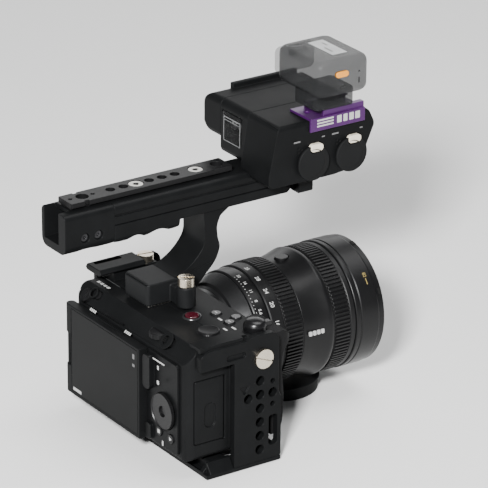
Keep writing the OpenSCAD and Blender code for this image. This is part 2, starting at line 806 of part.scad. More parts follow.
module shoe_adapter() color(purple) {
  difference() {
    block([11.4, shoe_y[0], box_top], [box_x1 + 1.7, shoe_y[1], box_top + shoe_t]);
    rod_z(box_top - 1, box_top + shoe_t + 1, shoe_x, 84.5, 2);
  }
  block([box_x1 + 0.1, shoe_y[0], box_top - 7.5], [box_x1 + 1.7, shoe_y[1], box_top]);
  for (side = [-1, 1]) {
    translate([shoe_x, 0, box_top + shoe_t]) mirror([side < 0 ? 1 : 0, 0, 0]) {
      along_y(90, shoe_y[1], [
        [shoe_w / 2, 0], [shoe_w / 2 + 1.8, 0], [shoe_w / 2 + 1.8, lip_z],
        [shoe_w / 2 - 2.4, lip_z], [shoe_w / 2 - 2.4, lip_z - 1.6], [shoe_w / 2, lip_z - 1.6]
      ]);
    }
  }
}

// Wireless receiver with its shoe foot

module receiver_case() color("#77787a") {
  difference() {
    intersection() {
      along_z(receiver_z, receiver_z + receiver_h, round_box(
        receiver_x0, receiver_x0 + receiver_w, receiver_y[0], receiver_y[1], 7
      ));
      along_x(receiver_x0, receiver_x0 + receiver_w, round_box(
        receiver_y[0], receiver_y[1], receiver_z, receiver_z + receiver_h, 5.5
      ));
      along_y(receiver_y[0], receiver_y[1], round_box(
        receiver_x0, receiver_x0 + receiver_w, receiver_z, receiver_z + receiver_h, 5.5
      ));
    }
    block(
      [receiver_x0 + 2, receiver_y[0] + 2, receiver_z + 2],
      [receiver_x0 + receiver_w - 3.4, receiver_y[1] - 2, receiver_z + receiver_h - 2.6]
    );
    block(
      [display_x[0] - 0.1, display_y[0] - 0.1, receiver_z + receiver_h - 1],
      [display_x[1] + 0.1, display_y[1] + 0.1, receiver_z + receiver_h + 1]
    );
    along_x(receiver_x0 + receiver_w - 2.4, receiver_x0 + receiver_w + 1, button_outline(0.2));
  }
  block([shoe_x - 6, 93, box_top + shoe_t + 2], [shoe_x + 6, 111, neck_z]);
  block([shoe_x - 9, 93, box_top + shoe_t + 0.2], [shoe_x + 9, 111, box_top + shoe_t + 2]);
  along_z(neck_z, receiver_z + 0.1, round_box(10, 35.5, 82, 114, 3));
  along_x(receiver_x0 - 4, receiver_x0 - 2, round_box(77.5, 110, 226, 245, 3));
  block([receiver_x0 - 2.1, 88, 238], [receiver_x0 + 0.1, 102, 242]);
}

function button_outline(g) = round_box(89.6 - g, 99.4 + g, 237.4 - g, 241.4 + g, 1.9);

module receiver_display() color("#a9adb0") {
  block(
    [display_x[0], display_y[0], receiver_z + receiver_h - 1],
    [display_x[1], display_y[1], receiver_z + receiver_h - 0.05]
  );
}

module receiver_button() color("#e8912a") {
  along_x(receiver_x0 + receiver_w - 1.4, receiver_x0 + receiver_w + 0.8, button_outline(0));
}

// Lens

module lens_barrel() color(dark) lathe([
  [30, flange_y], [mount_r, flange_y], [32, flange_y + 2.4], [34, flange_y + 3],
  [38.6, flange_y + 12.4], [38.6, flange_y + 13], [tube_r, flange_y + 13],
  [tube_r, front_y[0] + 4], [tube_r - 2, front_y[0] + 4], [tube_r - 2, flange_y + 11],
  [24, flange_y + 6], [21, flange_y], [21, flange_y - 4], [22.8, flange_y - 4], [22.8, flange_y]
]);

module aperture_ring() color(black) lathe([
  [tube_r + ring_gap, aperture_y[0]], [39, aperture_y[0]], [39.8, aperture_y[0] + 1],
  [40.2, aperture_y[1] - 1], [39.8, aperture_y[1]], [tube_r + ring_gap, aperture_y[1]]
]);

module zoom_ring() color(black) lathe([
  [tube_r + ring_gap, zoom_y[0]], [40.2, zoom_y[0]], [41, zoom_y[0] + 1],
  [41, zoom_y[0] + 9], [zoom_r, zoom_y[0] + 9.5], [zoom_r, zoom_y[1] - 0.4],
  [zoom_r - 0.5, zoom_y[1]], [tube_r + ring_gap, zoom_y[1]]
]);

module lens_middle_barrel() color(black) difference() {
  lathe(concat(
    [[tube_r + 0.02, middle_y[0]], [40.2, middle_y[0]]],
    spline([[40.4, middle_y[0] + 3], [41, middle_y[0] + 8], [42.3, middle_y[0] + 14],
      [front_r, middle_y[0] + 19.5]]),
    [[front_r - 0.2, middle_y[0] + 21], [43, middle_y[1]], [tube_r + 0.02, middle_y[1]]]
  ));
  rod_z(axis_z + 38, axis_z + 46, 0, hold_y, 4.8);
}

module focus_ring() color(black) lathe([
  [tube_r + ring_gap, focus_y[0]], [43, focus_y[0]], [43.5, focus_y[0] + 0.5],
  [43.5, focus_y[1] - 0.5], [43, focus_y[1]], [tube_r + ring_gap, focus_y[1]]
]);

module front_barrel() color(black) lathe([
  [tube_r + 0.02, front_y[0]], [43.4, front_y[0]], [front_r, front_y[0] + 0.6],
  [front_r, front_y[0] + 3.4], [front_r - 0.6, front_y[0] + 3.8], [front_r - 0.6, front_y[0] + 4.4],
  [front_r, front_y[0] + 4.8], [front_r, front_y[1] - 5.4], [front_r - 0.5, front_y[1] - 4.9],
  [front_r - 0.5, front_y[1] - 0.9], [front_r - 1.4, front_y[1]],
  [filter_r, front_y[1]], [filter_r, front_y[1] - 7], [filter_r - 1.4, front_y[1] - 8],
  [36, front_y[1] - 15], [36, front_y[0] + 4], [tube_r + 0.02, front_y[0] + 4]
]);

module lens_glass() color("#4a5870") {
  lathe(concat(
    [[0, front_y[1] - 18.4], [35.8, front_y[1] - 18.4], [35.8, front_y[1] - 14]],
    [for (i = [1:8]) [35.8 * cos(90 * i / 8), front_y[1] - 14 + 5.4 * sin(90 * i / 8)]]
  ));
  lathe([[0, flange_y + 2], [20.4, flange_y + 2], [20.4, flange_y + 5], [0, flange_y + 7]]);
  lathe([[0, flange_y + 56], [31.9, flange_y + 56], [31.9, flange_y + 59], [0, flange_y + 63]]);
}

module focus_hold_button() color(dark) {
  rod_z(axis_z + 39.2, axis_z + 42.3, 0, hold_y, 4.5);
}

module lens_support() color(dark) {
  translate([-10.5, 87, 0]) {
    cylinder(h = 8, r = 27);
    translate([0, 0, 8]) cylinder(h = 1.2, r = 28);
  }
  along_z(0, 6, [[-18.5, cage_y1], [-2.5, cage_y1], [-2.5, 62], [-18.5, 62]]);
}

body_front();
body_rear();
hot_shoe();
grip();
control_panel();
mount_ring();
sensor();
battery();
battery_door();
card_door();
cage_base();
cage_side_plate();
cage_screws();
accessory_bracket();
record_button();
top_button_left();
top_button_right();
top_button_front();
mode_knob();
custom_button();
rear_dial();
joystick();
control_wheel();
play_button();
delete_button();
shutter_lever();
monitor_panel();
monitor_glass();
handle_foot();
thumb_screw();
riser_arm();
handle_beam();
handle_end_block();
accessory_rail();
handle_screws();
xlr_box_left();
xlr_box_middle();
xlr_box_right();
audio_cover();
level_knob_left();
level_knob_right();
xlr_sockets();
xlr_cap_rear();
xlr_cap_front();
release_tab_rear();
release_tab_front();
mic_mount();
shoe_adapter();
receiver_case();
receiver_display();
receiver_button();
lens_barrel();
aperture_ring();
zoom_ring();
lens_middle_barrel();
focus_ring();
front_barrel();
lens_glass();
focus_hold_button();
lens_support();
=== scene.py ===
"""Looks of the caged cinema camera with its audio handle, zoom lens and wireless receiver."""

import json
import math

import bmesh
import bpy
from mathutils import Matrix, Vector

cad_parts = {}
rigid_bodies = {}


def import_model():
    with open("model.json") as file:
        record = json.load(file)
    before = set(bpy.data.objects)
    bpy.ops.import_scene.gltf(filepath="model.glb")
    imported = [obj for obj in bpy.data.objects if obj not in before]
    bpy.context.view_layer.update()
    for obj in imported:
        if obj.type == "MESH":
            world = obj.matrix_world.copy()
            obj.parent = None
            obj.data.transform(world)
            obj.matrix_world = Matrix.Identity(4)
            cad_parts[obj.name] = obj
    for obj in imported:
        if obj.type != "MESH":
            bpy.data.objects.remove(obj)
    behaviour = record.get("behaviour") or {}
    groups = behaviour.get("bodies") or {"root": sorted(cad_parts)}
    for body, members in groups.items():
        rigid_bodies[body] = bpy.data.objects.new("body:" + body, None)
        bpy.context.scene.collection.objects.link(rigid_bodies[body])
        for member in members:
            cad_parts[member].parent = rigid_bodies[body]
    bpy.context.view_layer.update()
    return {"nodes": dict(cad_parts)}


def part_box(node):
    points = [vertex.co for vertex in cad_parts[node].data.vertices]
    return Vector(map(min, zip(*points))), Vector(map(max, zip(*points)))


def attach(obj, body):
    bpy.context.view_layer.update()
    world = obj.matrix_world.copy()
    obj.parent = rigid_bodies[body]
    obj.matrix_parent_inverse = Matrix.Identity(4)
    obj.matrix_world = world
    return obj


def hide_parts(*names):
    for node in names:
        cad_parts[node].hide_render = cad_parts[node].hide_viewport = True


for leftover in list(bpy.data.objects):
    bpy.data.objects.remove(leftover)

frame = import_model()
nodes = frame["nodes"]
scene = bpy.context.scene

# Lengths below are millimetres in the CAD frame, and MM turns them into metres.
MM = 0.001


def low(node):
    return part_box(node)[0] / MM


def high(node):
    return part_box(node)[1] / MM


def centre(node):
    return (low(node) + high(node)) / 2


LENS_X = centre("zoom_ring").x
LENS_Z = centre("zoom_ring").z
DECK_Z = high("body_front").z
REAR_Y = low("control_panel").y
SCREEN_Y = low("monitor_glass").y
BOX_X = high("xlr_box_right").x
SLOPE_DEPTH = 9
SLOPE_RISE = 11
SLOPE_TILT = math.atan2(SLOPE_DEPTH, SLOPE_RISE)
SLOPE_UP = Vector((0, math.sin(SLOPE_TILT), math.cos(SLOPE_TILT)))
SLOPE_FOOT = Vector((0, low("body_rear").y, DECK_Z - SLOPE_RISE))

# How far a piece that lies on a surface reaches into it
SINK = 0.02


# Places: a place turns (right, up, out) into a point of the frame

def flat(origin, right, up):
    """A flat place with its own right and up; out is their cross product."""
    origin = Vector(origin)
    right = Vector(right).normalized()
    up = Vector(up).normalized()
    out = right.cross(up)
    return lambda x, y, z=0.0: origin + right * x + up * y + out * z


def deck(x, y, z=None, turn=0):
    """A level place, turned about its upright by turn degrees."""
    angle = math.radians(turn)
    right = (math.cos(angle), math.sin(angle), 0)
    up = (-math.sin(angle), math.cos(angle), 0)
    return flat((x, y, DECK_Z if z is None else z), right, up)


def slope(x, rise):
    """A place on the body's sloped rear edge, at a distance up the slope."""
    return flat(SLOPE_FOOT + Vector((x, 0, 0)) + SLOPE_UP * rise, (1, 0, 0), SLOPE_UP)


def rear(x, z, y=None):
    return flat((x, REAR_Y if y is None else y, z), (1, 0, 0), (0, 0, 1))


def side(x, y, z):
    """A place on a face that looks to the operator's right."""
    return flat((x, y, z), (0, 1, 0), (0, 0, 1))


def around_lens(radius, y, degrees):
    """A place on the lens barrel, clockwise from the top as seen from behind."""
    turn = math.radians(degrees)

    def point(x, up, out=0.0):
        angle = turn + x / radius
        reach = radius + out
        return Vector((LENS_X + reach * math.sin(angle), y + up, LENS_Z + reach * math.cos(angle)))

    return point


def lens_axis(x, y, z=0.0):
    """A place whose out runs forward along the lens axis."""
    return Vector((LENS_X + x, z, LENS_Z + y))


# Outlines, as lists of (right, up)

def arc(cx, cy, radius, start, end, steps=8):
    points = []
    for k in range(steps + 1):
        angle = math.radians(start + (end - start) * k / steps)
        points.append((cx + radius * math.cos(angle), cy + radius * math.sin(angle)))
    return points


def pill(width, height, radius=None, cx=0.0, cy=0.0):
    """A rectangle with round corners about (cx, cy)."""
    r = min(width, height) / 2 * 0.999 if radius is None else radius
    x = width / 2 - r
    y = height / 2 - r
    return (
        arc(cx + x, cy + y, r, 0, 90) + arc(cx - x, cy + y, r, 90, 180)
        + arc(cx - x, cy - y, r, 180, 270) + arc(cx + x, cy - y, r, 270, 360)
    )


def crescent(radius, bite, shift):
    """What is left of a disc when a second disc, shifted along right, is taken away."""
    reach = math.degrees(math.acos((radius ** 2 + shift ** 2 - bite ** 2) / (2 * radius * shift)))
    inner = math.degrees(math.acos((bite ** 2 + shift ** 2 - radius ** 2) / (2 * bite * shift)))
    outer_arc = arc(0, 0, radius, reach, 360 - reach, 28)
    inner_arc = arc(shift, 0, bite, 180 + inner, 180 - inner, 20)
    return outer_arc + inner_arc


# Solids, added to a bmesh

def prism(bm, outline, place, bottom, top, lip=0.0):
    """An outline given a thickness; lip rounds its top edge a little."""
    cx = sum(p[0] for p in outline) / len(outline)
    cy = sum(p[1] for p in outline) / len(outline)
    span = max(math.hypot(p[0] - cx, p[1] - cy) for p in outline)
    levels = [(bottom, 0.0), (top, 0.0)]
    if lip:
        levels = [(bottom, 0.0), (top - lip, 0.0), (top - lip * 0.3, lip * 0.3), (top, lip)]
    rings = []
    for height, inset in levels:
        scale = 1 - inset / span
        rings.append([
            bm.verts.new(place(cx + (x - cx) * scale, cy + (y - cy) * scale, height))
            for x, y in outline
        ])
    join_rings(bm, rings)
    bm.faces.new(rings[0][::-1])
    bm.faces.new(rings[-1])


def cushion(bm, width, depth, radius, place, bottom, top, lip):
    """A block whose corners, and top and bottom edges, are round."""
    rings = []
    for k in range(10):
        angle = math.radians(90 - 22.5 * k) if k < 5 else math.radians(22.5 * (k - 5))
        inset = lip * (1 - math.cos(angle))
        rise = lip * (1 - math.sin(angle))
        height = bottom + rise if k < 5 else top - rise
        outline = pill(width - 2 * inset, depth - 2 * inset, radius - inset)
        rings.append([bm.verts.new(place(x, y, height)) for x, y in outline])
    join_rings(bm, rings)
    bm.faces.new(rings[0][::-1])
    bm.faces.new(rings[-1])


def join_rings(bm, rings, closed=False):
    """Skins a list of rings of vertices with quads."""
    pairs = list(zip(rings, rings[1:]))
    if closed:
        pairs.append((rings[-1], rings[0]))
    for a, b in pairs:
        for k in range(len(a)):
            n = (k + 1) % len(a)
            corners = [a[k], a[n], b[n], b[k]]
            corners = [v for i, v in enumerate(corners) if v not in corners[:i]]
            if len(corners) > 2:
                bm.faces.new(corners)


def lathe(bm, profile, place, steps=96, ribs=None, closed=True):
    """Revolves (radius, height) points about a place's out.

    Points marked with a third value, 1, are cut by ribs = (count, depth, share of a rib).
    """
    angles = [(math.tau * k / steps, 0.0) for k in range(steps)]
    if ribs:
        count, depth, share = ribs
        angles = []
        for k in range(count):
            for part, cut in ((0.0, 0.0), (share, 0.0), (share + 0.1, depth), (0.9, depth)):
                angles.append((math.tau * (k + part) / count, cut))
    rings = []
    for point in profile:
        radius, height = point[:2]
        marked = point[2] if len(point) > 2 else 0
        if radius == 0:
            rings.append([bm.verts.new(place(0, 0, height))] * len(angles))
            continue
        ring = []
        for angle, cut in angles:
            reach = radius - cut * marked
            ring.append(bm.verts.new(place(reach * math.cos(angle), reach * math.sin(angle), height)))
        rings.append(ring)
    join_rings(bm, rings, closed)


def lettering(bm, text, height, place, thickness=0.03):
    """Figures laid on a place, centred on it."""
    curve = bpy.data.curves.new("figures", "FONT")
    curve.body = text
    curve.size = height
    curve.align_x = "CENTER"
    curve.align_y = "CENTER"
    curve.extrude = thickness
    curve.offset = height * 0.012
    holder = bpy.data.objects.new("figures", curve)
    scene.collection.objects.link(holder)
    ready = holder.evaluated_get(bpy.context.evaluated_depsgraph_get())
    mesh = bpy.data.meshes.new_from_object(ready)
    for vertex in mesh.vertices:
        vertex.co = place(vertex.co.x, vertex.co.y, vertex.co.z + thickness)
    bm.from_mesh(mesh)
    bpy.data.objects.remove(holder)
    bpy.data.meshes.remove(mesh)


# Surfaces

def finish(name, colour, roughness, metal=0.0, grain=0.35, relief=0.02, patch=14.0, shade=0.18,
           coat=0.0, alpha=1.0, stretch=(1, 1, 1), hide=False, specular=0.5):
    """A surface with a fine grain in relief and slow changes of colour and gloss.

    grain, relief and patch are millimetres; stretch draws the grain out, as turning does;
    hide=True gives a pebbled grain.
    """
    made = bpy.data.materials.new(name)
    made.use_nodes = True
    tree = made.node_tree
    shader = tree.nodes["Principled BSDF"]
    where = tree.nodes.new("ShaderNodeTexCoord").outputs["Object"]
    drawn = tree.nodes.new("ShaderNodeMapping")
    drawn.inputs["Scale"].default_value = stretch
    tree.links.new(where, drawn.inputs["Vector"])

    slow = tree.nodes.new("ShaderNodeTexNoise")
    slow.inputs["Scale"].default_value = 1 / (patch * MM)
    slow.inputs["Detail"].default_value = 4
    tree.links.new(where, slow.inputs["Vector"])

    fine = tree.nodes.new("ShaderNodeTexNoise")
    fine.inputs["Scale"].default_value = 1 / (grain * MM)
    fine.inputs["Detail"].default_value = 3
    tree.links.new(drawn.outputs["Vector"], fine.inputs["Vector"])
    height = fine.outputs["Fac"]
    if hide:
        cells = tree.nodes.new("ShaderNodeTexVoronoi")
        cells.feature = "SMOOTH_F1"
        cells.inputs["Scale"].default_value = 1 / (grain * 2.6 * MM)
        cells.inputs["Smoothness"].default_value = 0.35
        tree.links.new(where, cells.inputs["Vector"])
        height = cells.outputs["Distance"]

    bump = tree.nodes.new("ShaderNodeBump")
    bump.inputs["Strength"].default_value = 0.55
    bump.inputs["Distance"].default_value = relief * MM
    tree.links.new(height, bump.inputs["Height"])
    tree.links.new(bump.outputs["Normal"], shader.inputs["Normal"])

    mixed = tree.nodes.new("ShaderNodeMath")
    mixed.operation = "MULTIPLY_ADD"
    mixed.inputs[1].default_value = 0.7
    tree.links.new(slow.outputs["Fac"], mixed.inputs[0])
    quiet = tree.nodes.new("ShaderNodeMath")
    quiet.operation = "MULTIPLY"
    quiet.inputs[1].default_value = 0.3
    tree.links.new(height, quiet.inputs[0])
    tree.links.new(quiet.outputs[0], mixed.inputs[2])
    tones = tree.nodes.new("ShaderNodeValToRGB")
    tones.color_ramp.elements[0].position = 0.3
    tones.color_ramp.elements[1].position = 0.7
    tones.color_ramp.elements[0].color = [c * (1 - shade) for c in colour] + [1]
    tones.color_ramp.elements[1].color = [min(1, c * (1 + shade)) for c in colour] + [1]
    tree.links.new(mixed.outputs[0], tones.inputs["Fac"])
    tree.links.new(tones.outputs["Color"], shader.inputs["Base Color"])

    gloss = tree.nodes.new("ShaderNodeMapRange")
    gloss.inputs["To Min"].default_value = roughness * 0.82
    gloss.inputs["To Max"].default_value = min(1, roughness * 1.18)
    tree.links.new(mixed.outputs[0], gloss.inputs["Value"])
    tree.links.new(gloss.outputs["Result"], shader.inputs["Roughness"])

    shader.inputs["Metallic"].default_value = metal
    shader.inputs["Specular IOR Level"].default_value = specular
    shader.inputs["Coat Weight"].default_value = coat
    shader.inputs["Coat Roughness"].default_value = 0.08
    shader.inputs["Alpha"].default_value = alpha
    return made


BODY = finish("body_paint", (0.0042, 0.0044, 0.0046), 0.46, grain=0.22, relief=0.03, specular=0.06)
PANEL = finish("smooth_panel", (0.0034, 0.0036, 0.0038), 0.34, grain=0.5, relief=0.01, specular=0.06)
HIDE = finish("pebbled_rubber", (0.005, 0.005, 0.0052), 0.58, grain=0.34, relief=0.12, hide=True,
              specular=0.08)
PATCH = finish("pebbled_patch", (0.05, 0.052, 0.052), 0.5, grain=0.3, relief=0.2, hide=True)
ANODISED = finish("anodised_metal", (0.0038, 0.004, 0.0042), 0.4, grain=0.16, relief=0.022,
                  specular=0.055)
CAST = finish("cast_metal", (0.005, 0.0053, 0.0056), 0.5, grain=0.3, relief=0.04, specular=0.1)
RAIL = finish("worn_anodising", (0.006, 0.006, 0.0063), 0.36, metal=0.2, grain=0.16, relief=0.022,
              specular=0.08)
NICKEL = finish("turned_nickel", (0.6, 0.54, 0.44), 0.28, metal=1.0, grain=0.5, relief=0.014,
                stretch=(1, 1, 14), shade=0.14)
STEEL = finish("screw_steel", (0.5, 0.49, 0.46), 0.34, metal=0.75, grain=0.3, relief=0.012, shade=0.12)
BOARD = finish("circuit_board", (0.012, 0.03, 0.07), 0.3, grain=0.8, relief=0.03)
CELL = finish("battery_case", (0.01, 0.01, 0.011), 0.55, grain=0.3, relief=0.02, specular=0.2)
RED = finish("record_red", (0.03, 0.0015, 0.005), 0.2, grain=0.8, relief=0.006, coat=0.7)
BUTTON = finish("button_metal", (0.045, 0.045, 0.046), 0.26, metal=0.8, grain=0.3, relief=0.012,
                specular=0.3)
KEY = finish("black_key", (0.0045, 0.0045, 0.0048), 0.36, grain=0.3, relief=0.012, specular=0.2)
GLOSS = finish("gloss_black", (0.003, 0.003, 0.0033), 0.3, grain=0.9, relief=0.004, specular=0.3)
SCREEN = finish("screen_glass", (0.0042, 0.0044, 0.0045), 0.3, grain=2.0, relief=0.002, specular=0.05)
SHELL = finish("box_plastic", (0.0036, 0.0038, 0.004), 0.5, grain=0.2, relief=0.03, specular=0.06)
CLEAR = finish("clear_cover", (0.1, 0.1, 0.1), 0.1, grain=3.0, relief=0.001, alpha=0.04, specular=0.1)
PLATED = finish("socket_plating", (0.03, 0.03, 0.032), 0.35, metal=0.8, grain=0.3, relief=0.01)
RUBBER = finish("cap_rubber", (0.006, 0.0062, 0.0064), 0.6, grain=0.25, relief=0.03, specular=0.06)
# Dark matte colour laid where recesses are: painted shade for hex sockets, pits, bayonet notches and one
# side of each cap's face.
RECESS_SHADE = finish("painted_recess_shade", (0.003, 0.003, 0.003), 0.7, grain=0.25, relief=0.03, specular=0.15)
IVORY = finish("ivory_tab", (0.5, 0.46, 0.38), 0.4, grain=0.4, relief=0.01, shade=0.06)
PURPLE = finish("purple_anodising", (0.04, 0.0055, 0.062), 0.3, metal=0.25, grain=0.14, relief=0.014,
                specular=0.4)
SMOKE = finish("smoke_plastic", (0.01, 0.0105, 0.011), 0.4, grain=0.3, relief=0.012, alpha=0.62,
                specular=0.1)
# Light grey for the clear cover's rims: a painted highlight where their edges catch the light.
EDGE_HIGHLIGHT = finish("cover_edge_highlight", (0.1, 0.103, 0.104), 0.2, grain=0.5, relief=0.004, specular=0.6)
VEIL = finish("clip_plastic", (0.014, 0.0145, 0.015), 0.4, grain=0.3, relief=0.012, alpha=0.28,
              specular=0.1)
DISPLAY = finish("display_pane", (0.42, 0.43, 0.43), 0.3, grain=1.5, relief=0.004, alpha=0.6)
AMBER = finish("amber_key", (0.5, 0.19, 0.012), 0.4, grain=0.4, relief=0.01, shade=0.08)
BARREL = finish("barrel_paint", (0.0034, 0.0034, 0.0036), 0.36, grain=0.18, relief=0.025, specular=0.2)
CONE = finish("cone_metal", (0.011, 0.0112, 0.0116), 0.36, metal=0.6, grain=0.26, relief=0.07, specular=0.3)
RIB = finish("ribbed_rubber", (0.0036, 0.0036, 0.0038), 0.44, grain=0.24, relief=0.02, specular=0.2)
OPTIC = finish("coated_glass", (0.002, 0.003, 0.008), 0.06, grain=4.0, relief=0.0, coat=0.5)
WHITE = finish("white_print", (0.3, 0.3, 0.295), 0.5, grain=0.5, relief=0.004, shade=0.06)
DIM = finish("grey_print", (0.08, 0.08, 0.08), 0.5, grain=0.5, relief=0.004, shade=0.1)
YELLOW = finish("yellow_print", (0.16, 0.12, 0.035), 0.5, grain=0.5, relief=0.004, shade=0.1)
BACKDROP = finish("pale_floor", (0.6, 0.6, 0.596), 0.8, grain=3.0, relief=0.0, patch=900, shade=0.01,
                  specular=0.1)

# The edge width of the nodes whose flat faces stay unmerged
FINE_EDGE = 0.06

# Which surface each CAD node wears, and how wide its edges are rounded
CAD_FINISH = {
    BODY: (0.5, "body_front body_rear card_door battery_door monitor_panel"),
    PANEL: (0.25, "control_panel"),
    HIDE: (0.6, "grip"),
    ANODISED: (0.4, "cage_base cage_side_plate accessory_bracket riser_arm handle_beam handle_end_block "
                    "mic_mount"),
    CAST: (1.0, "handle_foot"),
    RAIL: (0.3, "accessory_rail"),
    NICKEL: (FINE_EDGE, "cage_screws thumb_screw"),
    STEEL: (0.25, "hot_shoe handle_screws"),
    BOARD: (0.2, "sensor"),
    CELL: (0.5, "battery"),
    RED: (0.35, "record_button"),
    BUTTON: (0.3, "top_button_left top_button_right top_button_front"),
    KEY: (FINE_EDGE, "mode_knob custom_button joystick play_button delete_button"),
    GLOSS: (0.3, "shutter_lever"),
    SCREEN: (0.15, "monitor_glass"),
    SHELL: (0.5, "xlr_box_left xlr_box_middle xlr_box_right"),
    CLEAR: (0.15, "audio_cover"),
    PLATED: (0.25, "xlr_sockets"),
    RUBBER: (0.5, "xlr_cap_rear xlr_cap_front lens_support"),
    IVORY: (0.35, "release_tab_rear release_tab_front"),
    PURPLE: (0.25, "shoe_adapter"),
    SMOKE: (0.5, "receiver_case"),
    DISPLAY: (0.1, "receiver_display"),
    AMBER: (0.3, "receiver_button"),
    BARREL: (0.3, "lens_middle_barrel front_barrel focus_hold_button aperture_ring"),
    CONE: (0.3, "lens_barrel mount_ring"),
    OPTIC: (FINE_EDGE, "lens_glass"),
}


def soften(piece, width):
    """Rounds a tessellated solid's edges; one with wide roundings has its flat faces merged first."""
    mesh = piece.data
    mesh.polygons.foreach_set("use_smooth", [True] * len(mesh.polygons))
    weld = piece.modifiers.new("weld", "WELD")
    weld.merge_threshold = 0.02 * MM
    if width > FINE_EDGE:
        planes = piece.modifiers.new("planes", "DECIMATE")
        planes.decimate_type = "DISSOLVE"
        planes.angle_limit = math.radians(0.3)
    edges = piece.modifiers.new("edges", "BEVEL")
    edges.width = width * MM
    edges.segments = 3
    edges.limit_method = "ANGLE"
    edges.angle_limit = math.radians(34)
    edges.use_clamp_overlap = False
    edges.miter_outer = "MITER_ARC"
    shade = piece.modifiers.new("shade", "WEIGHTED_NORMAL")
    shade.keep_sharp = False
    shade.weight = 60


def dress_cad_nodes():
    """Gives each CAD node its surface and its rounded edges."""
    for surface, (width, names) in CAD_FINISH.items():
        for name in names.split():
            nodes[name].data.materials.clear()
            nodes[name].data.materials.append(surface)
            soften(nodes[name], width)


def piece(name, bm, body, slot, surface, instead_of=(), crease=35):
    """Turns a bmesh in millimetres into a piece that rides on a body.

    Edges that turn by more than crease degrees stay sharp.
    """
    bmesh.ops.remove_doubles(bm, verts=bm.verts, dist=0.0005)
    bmesh.ops.recalc_face_normals(bm, faces=bm.faces)
    mesh = bpy.data.meshes.new(name)
    bm.to_mesh(mesh)
    bm.free()
    mesh.transform(Matrix.Scale(MM, 4))
    mesh.polygons.foreach_set("use_smooth", [True] * len(mesh.polygons))
    mesh.materials.append(surface)
    made = bpy.data.objects.new(name, mesh)
    scene.collection.objects.link(made)
    mesh.set_sharp_from_angle(angle=math.radians(crease))
    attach(made, body)
    if instead_of:
        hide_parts(*instead_of)
    return made


def side_screws_dark():
    """Blackens the screws in the handle's side and leaves the ones in its rail bright."""
    mesh = nodes["handle_screws"].data
    mesh.materials.append(PLATED)
    rail_screws_from = (high("handle_beam").z - 4) * MM
    for face in mesh.polygons:
        face.material_index = 0 if face.center.z > rail_screws_from else 1


def print_marks(name, marks, body, slot, surface, thickness=0.05):
    """Flat printed marks: each is (outline, place)."""
    bm = bmesh.new()
    for outline, place in marks:
        prism(bm, outline, place, -SINK, thickness)
    return piece(name, bm, body, slot, surface)


def screw_sockets():
    """Dark hexagons in the two bright screws of the handle's rail: painted shade for their hex sockets."""
    rail = centre("accessory_rail")
    top = high("handle_screws").z
    screws_y = (-28.2, 17.3)
    hexagon = arc(0, 0, 1.9, 0, 300, 5)
    marks = [(hexagon, deck(rail.x, y, top)) for y in screws_y]
    print_marks("rail_screw_sockets", marks, "camera", "bright_steel", RECESS_SHADE, 0.03)


# Lens

def lens_rings():
    """The two ribbed rings, with their ribs standing on a narrower band."""
    start, end = low("zoom_ring").y, high("zoom_ring").y
    top = high("zoom_ring").x - LENS_X
    bore = 34.3
    band = top - 1.3
    bm = bmesh.new()
    lathe(bm, [
        (bore, start), (top - 1.6, start), (top - 0.9, start + 0.7), (top - 0.9, start + 8.6),
        (top - 1.2, start + 9), (band, start + 9.4),
        (band + 0.1, start + 9.8, 0), (top - 0.3, start + 10, 1), (top, start + 10.3, 1),
        (top, end - 1.5, 1), (top - 0.3, end - 1.2, 1), (band + 0.1, end - 1, 0),
        (band, end - 0.3), (bore, end)
    ], lens_axis, ribs=(96, 1.3, 0.4))
    piece("zoom_grip", bm, "zoom_ring", "lens_rubber", RIB, instead_of=["zoom_ring"], crease=28)

    start, end = low("focus_ring").y, high("focus_ring").y
    top = high("focus_ring").x - LENS_X
    band = top - 1.3
    bm = bmesh.new()
    lathe(bm, [
        (bore, start), (band, start), (band + 0.1, start + 0.8, 0), (top - 0.3, start + 1, 1),
        (top, start + 1.3, 1), (top, end - 4.5, 1), (top - 0.3, end - 4.2, 1),
        (band + 0.1, end - 4, 0), (top - 0.5, end - 3.2), (top - 0.4, end - 0.4),
        (top - 0.8, end), (bore, end)
    ], lens_axis, ribs=(100, 1.3, 0.42))
    piece("focus_grip", bm, "focus_ring", "lens_rubber", RIB, instead_of=["focus_ring"], crease=28)


